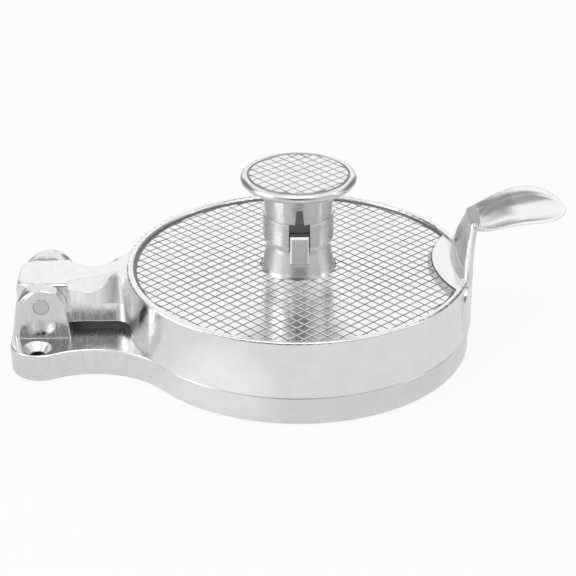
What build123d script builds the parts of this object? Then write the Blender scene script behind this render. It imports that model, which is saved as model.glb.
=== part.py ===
"""Hinged round burger press, cast and polished, in millimetres.

The origin is the centre of the round press on its underside, +Z up, +X towards the handle.
The hinge is at -X with its pin along Y, and the press is the same on both sides of the XZ plane.
"""
import os
from math import sqrt

from build123d import *

# Patty and shells
PATTY_DIAMETER = 114.3
CAVITY_R = PATTY_DIAMETER / 2
THIN_PATTY = 6.35
BASE_R = 63.8
BASE_HEIGHT = 10.9
DISH_FLOOR = 4.0
BASE_BOTTOM_ROUND = 1.9
PART_LINE_CHAMFER = 0.35

# Hinge slab of the base
SLAB_END_X = -105.4
LOBE_R = 11.0
LOBE_REACH = 31.2
WAIST_R = 31.4

# Mounting holes
SCREW_X = -95.4
SCREW_Y = 25.2
SCREW_HOLE_R = 2.5
COUNTERSINK_R = 5.3

# Hinge pin
PIN_X = -93.9
PIN_Z = 23.6
PIN_R = 3.0
PIN_RUNNING_CLEARANCE = 0.05
PIN_CHAMFER = 0.3

# Hinge ears: the back corner of each is rounded off towards its outer face
EAR_INNER_Y = 11.2
EAR_ROUND_START_Y = 14.0
EAR_OUTER_Y = 17.6
EAR_NEAR_X = -85.1
EAR_TOP_Z = 30.1
EAR_INNER_R = 9.3
EAR_OUTER_R = 8.0
EAR_FOOT_NEAR_X = -83.6
EAR_FOOT_INNER_X = -105.3
EAR_FOOT_OUTER_X = -103.2
EAR_FACE_CHAMFER = 0.4
EAR_ROUND_STEPS = (0.0, 0.5, 0.8, 0.95, 1.0)

# Knuckle of the lid on the pin
KNUCKLE_R = 10.4
KNUCKLE_HALF = 10.9
KNUCKLE_TOP_Z = 29.3
KNUCKLE_NOSE_ROUND = 8.0
KNUCKLE_LENGTH = 40.0
KNUCKLE_EDGE = 1.5

# Hinge arm: distance along X, height and half width of the top, height and half width at the
# foot of the scallop, half width at the bottom
ARM_BOTTOM_Z = 14.2
ARM_WALL_Z = 21.5
ARM_STATIONS = [
    (-90.0, 29.3, 9.4, 27.7, 10.9, 10.9),
    (-85.5, 29.3, 8.9, 27.6, 10.9, 10.9),
    (-80.5, 29.2, 5.9, 26.3, 10.7, 10.9),
    (-75.5, 29.1, 4.2, 25.7, 10.3, 10.9),
    (-70.5, 30.4, 3.8, 28.4, 9.2, 11.0),
    (-66.0, 31.9, 3.9, 31.5, 7.9, 11.4),
    (-63.8, 32.1, 4.4, 31.8, 9.9, 12.8),
    (-62.0, 32.1, 5.4, 31.8, 13.0, 15.0),
]

# Lid
LID_FOOT_R = 64.2
LID_RIM_R = 63.5
LID_TOP_Z = 32.4
RIM_WIDTH = 2.6
RIM_ROUND = 0.9
RECESS_FLOOR_Z = 30.85
LID_PLATE_UNDER_Z = 25.5
CAVITY_CHAMFER = 0.5

# Neck of the lid
BOSS_TOP_Z = 41.4
BOSS_TOP_R = 11.8
BOSS_NECK = 1.5
BOSS_FOOT_R = 13.3
BOSS_FOOT_CHAMFER = 0.6

# Index ring
RING_R = 12.95
RING_UNDERCUT = 1.1
RING_TOP_Z = 52.5
RING_EDGE = 0.4

# Knob: shank, throat under the flange, flange and raised top
SHANK_LOW_R = 12.2
SHANK_TOP_R = 13.2
SHANK_TOP_Z = 61.6
THROAT_MIDDLE = (14.2, 63.2)
THROAT_END = (16.2, 63.8)
FLANGE_UNDERSIDE = (19.8, 64.2)
FLANGE_R = 21.1
FLANGE_MID_Z = 65.8
FLANGE_SHOULDER = (20.6, 67.0)
FLANGE_TOP_R = 19.6
FLANGE_TOP_Z = 67.7
KNOB_DISC_R = 18.15
KNOB_DISC_Z = 67.35
KNOB_GROOVE = 0.45
KNOB_GROOVE_LIP = 0.3

# Index key and the slots that it sits in
KEY_WIDTH = 7.0
KEY_FACE_Y = -13.0
KEY_DEPTH = 3.6
KEY_BOTTOM_Z = 36.9
KEY_TOP_Z = 47.9
KEY_CHAMFER = 0.7
KEY_CLEARANCE = 0.3
MIDDLE_SLOT_ANGLE = 120.0
MIDDLE_SLOT_DEPTH = 2.6
SIGHT_NOTCH_TOP = 2.3
SIGHT_NOTCH_FOOT = 3.6
SIGHT_NOTCH_TOP_Z = 58.5
SIGHT_NOTCH_DEPTH = 0.6

# Plunger
PLATE_CLEARANCE = 0.55
PLATE_BOTTOM_Z = DISH_FLOOR + THIN_PATTY
PLATE_THICKNESS = 5.0
PLATE_TOP_Z = PLATE_BOTTOM_Z + PLATE_THICKNESS
PLATE_ROUND = 0.6
HUB_R = 11.0
HUB_HEIGHT = 4.0
HUB_RECESS_R = 12.0
HUB_RECESS_Z = 30.4
STEM_R = 5.0
STEM_BOTTOM_Z = 14.2
STEM_NECK_R = 4.0
STEM_SHOULDER_Z = 46.0
STEM_TOP_Z = 62.0
STEM_RUNNING_CLEARANCE = 0.05
PLATE_SCREW_R = 3.0
PLATE_SCREW_HEAD_R = 5.8
PLATE_SCREW_HEAD = 2.8
PLATE_SCREW_END_Z = 25.5
TAPPED_HOLE_END_Z = 27.0
HEX_SOCKET = 4.0
HEX_DEPTH = 1.8

# Handle: pad in the recess and rib on the wall
PAD_TOP_Z = 31.4
PAD_ARC_X = 96.0
PAD_ARC_R = 46.0
RIB_HALF = 25.0
RIB_R = 64.5
RIB_BOTTOM_Z = 11.3
RIB_TOP_Z = 31.3
RIB_CORNER = 6.0

# Handle stem: height, inner face at the middle and edge, half width, outer face at middle and edge
STEM_STATIONS = [
    (30.4, 55.2, 59.0, 17.8, 64.4, 62.0),
    (33.0, 58.0, 59.6, 16.8, 64.4, 62.3),
    (37.0, 59.2, 60.0, 14.4, 64.5, 62.9),
    (43.0, 60.7, 61.1, 10.4, 64.7, 63.9),
    (50.0, 62.4, 62.5, 6.2, 66.2, 65.8),
]
STEM_SIDE_BULGE = 0.9
# Shallow pocket in the stem's inner face: height, floor at the middle and edge, half width
POCKET_OPEN_X = 54.0
POCKET_STATIONS = [
    (34.2, 59.1, 60.2, 12.6),
    (38.0, 60.2, 60.9, 9.4),
    (42.0, 61.2, 61.6, 5.6),
    (45.8, 62.2, 62.3, 1.4),
]

# Palm rest: distance along X, half width, height of the lip, height of the belly, and how far
# the lip drops towards the hollow
PALM_STATIONS = [
    (62.6, 6.2, 50.1, 45.2, 1.7),
    (66.6, 11.2, 49.8, 45.0, 1.6),
    (71.5, 14.1, 51.1, 46.2, 1.2),
    (78.0, 16.0, 53.3, 48.4, 0.8),
    (85.0, 17.0, 54.3, 49.7, 0.5),
    (90.5, 15.3, 54.2, 50.4, 0.4),
    (94.6, 10.9, 53.8, 51.0, 0.3),
    (96.7, 6.4, 53.5, 51.3, 0.2),
    (97.5, 2.9, 53.3, 51.6, 0.1),
]
PALM_LIP_WIDTH = 4.1
PALM_LIP_CROWN = 0.15
PALM_LIP_LEAST_SHARE = 0.3
PALM_SKIN = 1.9
PALM_LEAST_HOLLOW = 0.1


def meet(centre_a, radius_a, centre_b, radius_b):
    """Lower of the two points at the given distances from two centres."""
    gap = centre_b - centre_a
    along = (gap.length ** 2 + radius_a ** 2 - radius_b ** 2) / (2 * gap.length)
    across = sqrt(radius_a ** 2 - along ** 2)
    way = gap.normalized()
    side = Vector(-way.Y, way.X)
    points = [centre_a + way * along + side * across * sign for sign in (1, -1)]
    return min(points, key=lambda point: point.Y)


def tangent_point(point, centre, radius, sign):
    """Where a line from a point touches a circle, on the side that sign picks."""
    gap = centre - point
    reach = sqrt(gap.length ** 2 - radius ** 2)
    way = gap.normalized()
    side = Vector(-way.Y, way.X)
    return point + (way * reach + side * radius * sign) * (reach / gap.length)


def arc_between(start, end, centre, radius):
    """Arc from start to end round a centre, by the short way."""
    middle = centre + ((start - centre) + (end - centre)).normalized() * radius
    return ThreePointArc(start, middle, end)


def turned(points):
    """Solid turned about Z from half-section points (radius, height)."""
    return revolve(Plane.XZ * make_face(Polyline(*points, close=True)), Axis.Z)


def disc(radius, bottom, top):
    """Round disc about Z between two heights."""
    return Pos(0, 0, bottom) * extrude(Circle(radius), top - bottom)


def cone_up(low_r, high_r, bottom, height):
    """Cone about Z that starts at a height."""
    cone = Cone(low_r, high_r, height, align=(Align.CENTER, Align.CENTER, Align.MIN))
    return Pos(0, 0, bottom) * cone


def block(x_range, y_range, z_range):
    """Box between low and high limits on each axis."""
    size = [high - low for low, high in (x_range, y_range, z_range)]
    low = Pos(x_range[0], y_range[0], z_range[0])
    return low * Box(*size, align=(Align.MIN, Align.MIN, Align.MIN))


def half_slab_outline():
    """Plan outline of the front half of the hinge slab, from the origin to its end."""
    lobe = Vector(SLAB_END_X + LOBE_R, LOBE_R - LOBE_REACH)
    waist = meet(Vector(0, 0), BASE_R + WAIST_R, lobe, LOBE_R + WAIST_R)
    on_base = waist.normalized() * BASE_R
    on_lobe = lobe + (waist - lobe).normalized() * LOBE_R
    on_end = Vector(SLAB_END_X, lobe.Y)
    corner = Vector(SLAB_END_X, 0)
    origin = Vector(0, 0)
    edges = [
        Line(origin, on_base),
        arc_between(on_base, on_lobe, waist, WAIST_R),
        arc_between(on_lobe, on_end, lobe, LOBE_R),
        Line(on_end, corner),
        Line(corner, origin),
    ]
    return make_face(edges)


def base_blank():
    """Dish disc and hinge slab in one, with the round dish sunk into it."""
    half = half_slab_outline()
    plan = Circle(BASE_R) + half + mirror(half, Plane.XZ)
    blank = extrude(plan, BASE_HEIGHT)
    bottom_edges = blank.faces().sort_by(Axis.Z)[0].edges()
    blank = fillet(bottom_edges, BASE_BOTTOM_ROUND)
    top_edges = blank.faces().sort_by(Axis.Z)[-1].edges()
    blank = chamfer(top_edges, PART_LINE_CHAMFER)
    return blank - disc(CAVITY_R, DISH_FLOOR, BASE_HEIGHT + 1)


def ear_section(y, share, inset):
    """Arched outline of an ear across Y: share 0 is its full depth, 1 its outer face."""
    full_r = EAR_INNER_R + share * (EAR_OUTER_R - EAR_INNER_R)
    foot_x = EAR_FOOT_INNER_X + share * (EAR_FOOT_OUTER_X - EAR_FOOT_INNER_X)
    radius = full_r - inset
    arch = Vector(EAR_NEAR_X - full_r, EAR_TOP_Z - full_r)
    near_foot = Vector(EAR_FOOT_NEAR_X - inset, BASE_HEIGHT - 1)
    far_foot = Vector(foot_x + inset, BASE_HEIGHT - 1)
    near = tangent_point(near_foot, arch, radius, -1)
    far = tangent_point(far_foot, arch, radius, 1)
    edges = [
        Line(far_foot, far),
        ThreePointArc(far, arch + Vector(0, radius), near),
        Line(near, near_foot),
        Line(near_foot, far_foot),
    ]
    return Pos(0, -y, 0) * (Plane.XZ * make_face(edges))


def ear():
    """One hinge ear on the front side, rounded off at the back and crisp at its face."""
    face_start = EAR_OUTER_Y - EAR_FACE_CHAMFER
    rounding = []
    for step in EAR_ROUND_STEPS:
        y = EAR_ROUND_START_Y + step * (face_start - EAR_ROUND_START_Y)
        rounding.append(ear_section(y, 1 - sqrt(1 - step ** 2), 0))
    wall = extrude(ear_section(EAR_INNER_Y, 0, 0), EAR_ROUND_START_Y - EAR_INNER_Y)
    edge = [ear_section(face_start, 1, 0), ear_section(EAR_OUTER_Y, 1, EAR_FACE_CHAMFER)]
    return wall + loft(rounding) + loft(edge, ruled=True)


def countersunk_hole(x, y):
    """Cutter for a through hole with a 90 degree countersink at the top of the slab."""
    depth = COUNTERSINK_R - SCREW_HOLE_R
    sink = cone_up(SCREW_HOLE_R, COUNTERSINK_R, BASE_HEIGHT - depth, depth)
    hole = disc(SCREW_HOLE_R, -1, BASE_HEIGHT) + sink + disc(COUNTERSINK_R, BASE_HEIGHT, BASE_HEIGHT + 1)
    return Pos(x, y, 0) * hole


def along_pin(radius, half_length):
    """Cylinder on the hinge pin's axis, centred on the press."""
    lying = Rot(90, 0, 0) * Cylinder(radius, 2 * half_length)
    return Pos(PIN_X, 0, PIN_Z) * lying


def make_base_casting():
    """Base: dish, slab, two ears and two countersunk mounting holes."""
    front = ear()
    body = base_blank() + front + mirror(front, Plane.XZ)
    body -= along_pin(PIN_R, EAR_OUTER_Y + 1)
    for side in (-1, 1):
        body -= countersunk_hole(SCREW_X, side * SCREW_Y)
    return body


def make_hinge_pin():
    """Plain pin, pressed into the ears and flush with their outer faces."""
    pin = along_pin(PIN_R, EAR_OUTER_Y)
    return chamfer(pin.edges().filter_by(GeomType.CIRCLE), PIN_CHAMFER)


def lid_shell():
    """Cup, top plate with its raised rim, and the boss, turned as one."""
    bore = STEM_R + STEM_RUNNING_CLEARANCE
    section = [
        (CAVITY_R, BASE_HEIGHT),
        (LID_FOOT_R - PART_LINE_CHAMFER, BASE_HEIGHT),
        (LID_FOOT_R, BASE_HEIGHT + PART_LINE_CHAMFER),
        (LID_RIM_R, LID_TOP_Z),
        (LID_RIM_R - RIM_WIDTH, LID_TOP_Z),
        (LID_RIM_R - RIM_WIDTH, RECESS_FLOOR_Z),
        (BOSS_FOOT_R + BOSS_FOOT_CHAMFER, RECESS_FLOOR_Z),
        (BOSS_FOOT_R, RECESS_FLOOR_Z + 2 * BOSS_FOOT_CHAMFER),
        (BOSS_TOP_R, BOSS_TOP_Z - BOSS_NECK),
        (BOSS_TOP_R, BOSS_TOP_Z),
        (bore, BOSS_TOP_Z),
        (bore, HUB_RECESS_Z),
        (HUB_RECESS_R, HUB_RECESS_Z),
        (HUB_RECESS_R, LID_PLATE_UNDER_Z),
        (CAVITY_R - CAVITY_CHAMFER, LID_PLATE_UNDER_Z),
        (CAVITY_R, LID_PLATE_UNDER_Z - CAVITY_CHAMFER),
    ]
    shell = turned(section)
    circles = shell.edges().filter_by(GeomType.CIRCLE)
    rim = circles.filter_by(lambda edge: abs(edge.center().Z - LID_TOP_Z) < 0.01)
    return fillet(rim, RIM_ROUND)


def knuckle():
    """Barrel round the hinge pin, flat on top, with a rounded nose."""
    barrel = along_pin(KNUCKLE_R, KNUCKLE_HALF)
    plan = RectangleRounded(KNUCKLE_LENGTH, 2 * KNUCKLE_HALF, KNUCKLE_NOSE_ROUND)
    middle_x = PIN_X - KNUCKLE_R + KNUCKLE_LENGTH / 2
    barrel = barrel & (Pos(middle_x, 0, 0) * extrude(plan, KNUCKLE_TOP_Z))
    flat = barrel.faces().sort_by(Axis.Z)[-1]
    return fillet(flat.edges().filter_by(Axis.X), KNUCKLE_EDGE)


def arm_section(x, top_z, top_half, foot_z, foot_half, bottom_half):
    """Section of the arm across X: upright walls that lean in to the foot of the scallop."""
    points = [
        (x, -bottom_half, ARM_BOTTOM_Z),
        (x, -bottom_half, ARM_WALL_Z),
        (x, -foot_half, foot_z),
        (x, -top_half, top_z),
        (x, top_half, top_z),
        (x, foot_half, foot_z),
        (x, bottom_half, ARM_WALL_Z),
        (x, bottom_half, ARM_BOTTOM_Z),
    ]
    return make_face(Polyline(*points, close=True))


def hinge_arm():
    """Arm from the knuckle to the lid wall, with a scallop along each top edge."""
    return loft([arm_section(*station) for station in ARM_STATIONS])


def handle_pad():
    """Crescent pad that fills the recess beside the handle."""
    plan = (Pos(PAD_ARC_X, 0) * Circle(PAD_ARC_R)) & Circle(LID_RIM_R - RIM_WIDTH / 2)
    return Pos(0, 0, RECESS_FLOOR_Z - 1) * extrude(plan, PAD_TOP_Z - RECESS_FLOOR_Z + 1)


def handle_rib():
    """Raised rib on the outside of the wall below the handle."""
    height = RIB_TOP_Z - RIB_BOTTOM_Z
    outline = RectangleRounded(2 * RIB_HALF, height, RIB_CORNER)
    panel = Pos(0, 0, RIB_BOTTOM_Z + height / 2) * extrude(Plane.YZ * outline, RIB_R)
    return (panel & disc(RIB_R, RIB_BOTTOM_Z, RIB_TOP_Z)) - disc(CAVITY_R + 2, 0, LID_TOP_Z)


def stem_section(z, inner_mid, inner_edge, half, outer_mid, outer_edge):
    """Level section of the handle stem, bowed on all its sides."""
    low = Vector(inner_edge, -half, z)
    high = Vector(inner_edge, half, z)
    low_out = Vector(outer_edge, -half, z)
    high_out = Vector(outer_edge, half, z)
    side_x = (inner_edge + outer_edge) / 2
    side_y = half + STEM_SIDE_BULGE
    edges = [
        ThreePointArc(low, Vector(inner_mid, 0, z), high),
        ThreePointArc(high, Vector(side_x, side_y, z), high_out),
        ThreePointArc(high_out, Vector(outer_mid, 0, z), low_out),
        ThreePointArc(low_out, Vector(side_x, -side_y, z), low),
    ]
    return make_face(edges)


def pocket_section(z, floor_mid, floor_edge, half):
    """Level section of the cutter for the stem's pocket."""
    low = Vector(floor_edge, -half, z)
    high = Vector(floor_edge, half, z)
    low_open = Vector(POCKET_OPEN_X, -half, z)
    high_open = Vector(POCKET_OPEN_X, half, z)
    edges = [
        ThreePointArc(low, Vector(floor_mid, 0, z), high),
        Line(high, high_open),
        Line(high_open, low_open),
        Line(low_open, low),
    ]
    return make_face(edges)


def handle_stem():
    """Tapering stem from the pad up to the bend, with a shallow pocket in its inner face."""
    stem = loft([stem_section(*station) for station in STEM_STATIONS])
    return stem - loft([pocket_section(*station) for station in POCKET_STATIONS])


def palm_section(x, half, lip_z, belly_z, lip_drop):
    """Thin trough across X: outer curve, inner curve and two broad lips that lean inwards."""
    inner = max(half - PALM_LIP_WIDTH, half * PALM_LIP_LEAST_SHARE)
    inner_z = lip_z - lip_drop
    hollow_z = min(belly_z + PALM_SKIN, inner_z - PALM_LEAST_HOLLOW)
    crown_y = (half + inner) / 2
    crown_z = (lip_z + inner_z) / 2 + PALM_LIP_CROWN
    low = Vector(x, -half, lip_z)
    high = Vector(x, half, lip_z)
    low_in = Vector(x, -inner, inner_z)
    high_in = Vector(x, inner, inner_z)
    edges = [
        ThreePointArc(low, Vector(x, 0, belly_z), high),
        ThreePointArc(high, Vector(x, crown_y, crown_z), high_in),
        ThreePointArc(high_in, Vector(x, 0, hollow_z), low_in),
        ThreePointArc(low_in, Vector(x, -crown_y, crown_z), low),
    ]
    return make_face(edges)


def palm_rest():
    """Spoon-shaped palm rest that runs out from the bend."""
    return loft([palm_section(*station) for station in PALM_STATIONS])


def key_block(bottom, top, clearance, reach):
    """Block in line with the key, from behind it out to the given reach."""
    half = KEY_WIDTH / 2 + clearance
    back = KEY_FACE_Y + KEY_DEPTH + clearance
    return block((-half, half), (-reach, back), (bottom, top))


def make_lid_casting():
    """Lid in one casting: cup, boss, hinge arm and handle."""
    body = lid_shell()
    for make in (hinge_arm, knuckle, handle_pad, handle_rib, handle_stem, palm_rest):
        body += make()
    body -= along_pin(PIN_R + PIN_RUNNING_CLEARANCE, KNUCKLE_HALF + 1)
    return body - key_block(KEY_BOTTOM_Z, BOSS_TOP_Z + 1, 0, 2 * BOSS_FOOT_R)


def make_index_key():
    """Flat key let into the boss, standing up into the ring."""
    key = key_block(KEY_BOTTOM_Z, KEY_TOP_Z, 0, -KEY_FACE_Y)
    return chamfer(key.faces().sort_by(Axis.Y)[0].edges(), KEY_CHAMFER)


def make_index_ring():
    """Ring on the stem: one slot right through, one half-depth slot, and a plain third."""
    section = [
        (STEM_R, BOSS_TOP_Z),
        (RING_R - RING_UNDERCUT, BOSS_TOP_Z),
        (RING_R, BOSS_TOP_Z + 2 * RING_UNDERCUT),
        (RING_R, RING_TOP_Z - RING_EDGE),
        (RING_R - RING_EDGE, RING_TOP_Z),
        (STEM_NECK_R, RING_TOP_Z),
        (STEM_NECK_R, STEM_SHOULDER_Z),
        (STEM_R, STEM_SHOULDER_Z),
    ]
    low = BOSS_TOP_Z - 1
    through = key_block(low, RING_TOP_Z + 1, KEY_CLEARANCE, 2 * RING_R)
    shallow = key_block(low, BOSS_TOP_Z + MIDDLE_SLOT_DEPTH, KEY_CLEARANCE, 2 * RING_R)
    return turned(section) - through - Rot(0, 0, MIDDLE_SLOT_ANGLE) * shallow


def sight_notch():
    """Tapered mark on the front of the knob shank, in line with the through slot."""
    foot = SIGHT_NOTCH_FOOT / 2
    top = SIGHT_NOTCH_TOP / 2
    points = [
        (-foot, RING_TOP_Z - 1),
        (foot, RING_TOP_Z - 1),
        (top, SIGHT_NOTCH_TOP_Z),
        (-top, SIGHT_NOTCH_TOP_Z),
    ]
    wedge = extrude(Plane.XZ * make_face(Polyline(*points, close=True)), 2 * SHANK_TOP_R)
    core = disc(SHANK_LOW_R - SIGHT_NOTCH_DEPTH, RING_TOP_Z - 2, SIGHT_NOTCH_TOP_Z + 1)
    return wedge - core


def make_knob():
    """Knob: flaring shank, rolled flange and a raised round top."""
    bulge = (FLANGE_R, FLANGE_MID_Z)
    shoulder = (FLANGE_TOP_R, FLANGE_TOP_Z)
    groove_top = FLANGE_TOP_Z - KNOB_GROOVE_LIP
    outline = [
        Polyline((0, RING_TOP_Z), (SHANK_LOW_R, RING_TOP_Z), (SHANK_TOP_R, SHANK_TOP_Z)),
        ThreePointArc((SHANK_TOP_R, SHANK_TOP_Z), THROAT_MIDDLE, THROAT_END),
        ThreePointArc(THROAT_END, FLANGE_UNDERSIDE, bulge),
        ThreePointArc(bulge, FLANGE_SHOULDER, shoulder),
        Polyline(
            shoulder,
            (KNOB_DISC_R + KNOB_GROOVE, groove_top),
            (KNOB_DISC_R + KNOB_GROOVE / 2, groove_top - KNOB_GROOVE),
            (KNOB_DISC_R, KNOB_DISC_Z),
            (0, KNOB_DISC_Z),
            (0, RING_TOP_Z),
        ),
    ]
    knob = revolve(Plane.XZ * make_face(outline), Axis.Z)
    return knob - disc(STEM_NECK_R, RING_TOP_Z - 1, STEM_TOP_Z) - sight_notch()


def make_plunger_stem():
    """Stepped stem: shoulder for the ring, tapped at the bottom for the plate screw."""
    shaft = disc(STEM_R, STEM_BOTTOM_Z, STEM_SHOULDER_Z)
    neck = disc(STEM_NECK_R, STEM_SHOULDER_Z, STEM_TOP_Z)
    return shaft + neck - disc(PLATE_SCREW_R, STEM_BOTTOM_Z - 1, TAPPED_HOLE_END_Z)


def screw_head():
    """Countersunk head with its wide end down on the underside of the plate."""
    return cone_up(PLATE_SCREW_HEAD_R, PLATE_SCREW_R, PLATE_BOTTOM_Z, PLATE_SCREW_HEAD)


def make_press_plate():
    """Round plate that meets the meat, with a hub that the stem sits in."""
    plate = disc(CAVITY_R - PLATE_CLEARANCE, PLATE_BOTTOM_Z, PLATE_TOP_Z)
    plate = fillet(plate.edges().filter_by(GeomType.CIRCLE), PLATE_ROUND)
    hub_top = PLATE_TOP_Z + HUB_HEIGHT
    plate += disc(HUB_R, PLATE_TOP_Z - 1, hub_top)
    plate -= disc(STEM_R, STEM_BOTTOM_Z, hub_top + 1)
    plate -= disc(PLATE_SCREW_R, PLATE_BOTTOM_Z - 1, STEM_BOTTOM_Z + 1)
    return plate - screw_head()


def make_plate_screw():
    """Countersunk socket screw that holds the plate on the stem."""
    screw = screw_head() + disc(PLATE_SCREW_R, PLATE_BOTTOM_Z + 1, PLATE_SCREW_END_Z)
    socket = extrude(RegularPolygon(HEX_SOCKET / 2, 6, major_radius=False), HEX_DEPTH)
    return screw - Pos(0, 0, PLATE_BOTTOM_Z) * socket


PARTS = {
    "base_casting": make_base_casting,
    "hinge_pin": make_hinge_pin,
    "lid_casting": make_lid_casting,
    "index_key": make_index_key,
    "index_ring": make_index_ring,
    "knob": make_knob,
    "plunger_stem": make_plunger_stem,
    "press_plate": make_press_plate,
    "plate_screw": make_plate_screw,
}


def main():
    """Build every piece and write one file for each."""
    os.makedirs("parts", exist_ok=True)
    for name, make in PARTS.items():
        solid = make()
        export_step(solid, f"parts/{name}.step")
        print(name, len(solid.solids()), round(solid.volume))


main()
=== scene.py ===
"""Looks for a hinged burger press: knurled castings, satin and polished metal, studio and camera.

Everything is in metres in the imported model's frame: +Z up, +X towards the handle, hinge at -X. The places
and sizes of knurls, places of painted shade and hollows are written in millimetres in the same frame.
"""

import logging
import math
import random
from dataclasses import dataclass, field
from enum import Enum
from typing import ClassVar

import bmesh
import bpy
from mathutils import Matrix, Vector


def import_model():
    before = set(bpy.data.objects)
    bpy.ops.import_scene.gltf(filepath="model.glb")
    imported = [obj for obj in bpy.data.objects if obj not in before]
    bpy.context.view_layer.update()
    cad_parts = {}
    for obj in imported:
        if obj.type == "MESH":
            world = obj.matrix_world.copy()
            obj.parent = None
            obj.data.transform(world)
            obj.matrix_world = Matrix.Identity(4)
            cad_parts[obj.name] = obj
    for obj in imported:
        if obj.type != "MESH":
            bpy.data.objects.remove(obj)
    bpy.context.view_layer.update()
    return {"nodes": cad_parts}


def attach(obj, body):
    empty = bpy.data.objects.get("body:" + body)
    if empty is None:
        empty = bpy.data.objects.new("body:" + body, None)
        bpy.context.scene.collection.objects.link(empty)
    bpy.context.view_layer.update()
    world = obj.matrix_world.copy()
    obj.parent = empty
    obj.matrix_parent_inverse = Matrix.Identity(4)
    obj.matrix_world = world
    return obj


LOG = logging.getLogger("burger_press")
MM = 0.001

Colour = tuple[float, float, float]
Place = tuple[float, float, float]
Point = tuple[float, float]
Socket = bpy.types.NodeSocket

SQUARE = ((-1, -1), (1, -1), (1, 1), (-1, 1))
# Vector operations that give a number
MEASURES = ("LENGTH", "DISTANCE", "DOT_PRODUCT")
# Where Blender's Mix node has its two numbers, its two colours and its colour result
MIX_NUMBERS = (2, 3)
MIX_COLOURS = (6, 7)
MIX_COLOUR_RESULT = 2


class Brush(Enum):
    """Which way the polishing marks of a finish run."""

    ROUND = "round the vertical axis"
    ACROSS = "in level lines"


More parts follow.
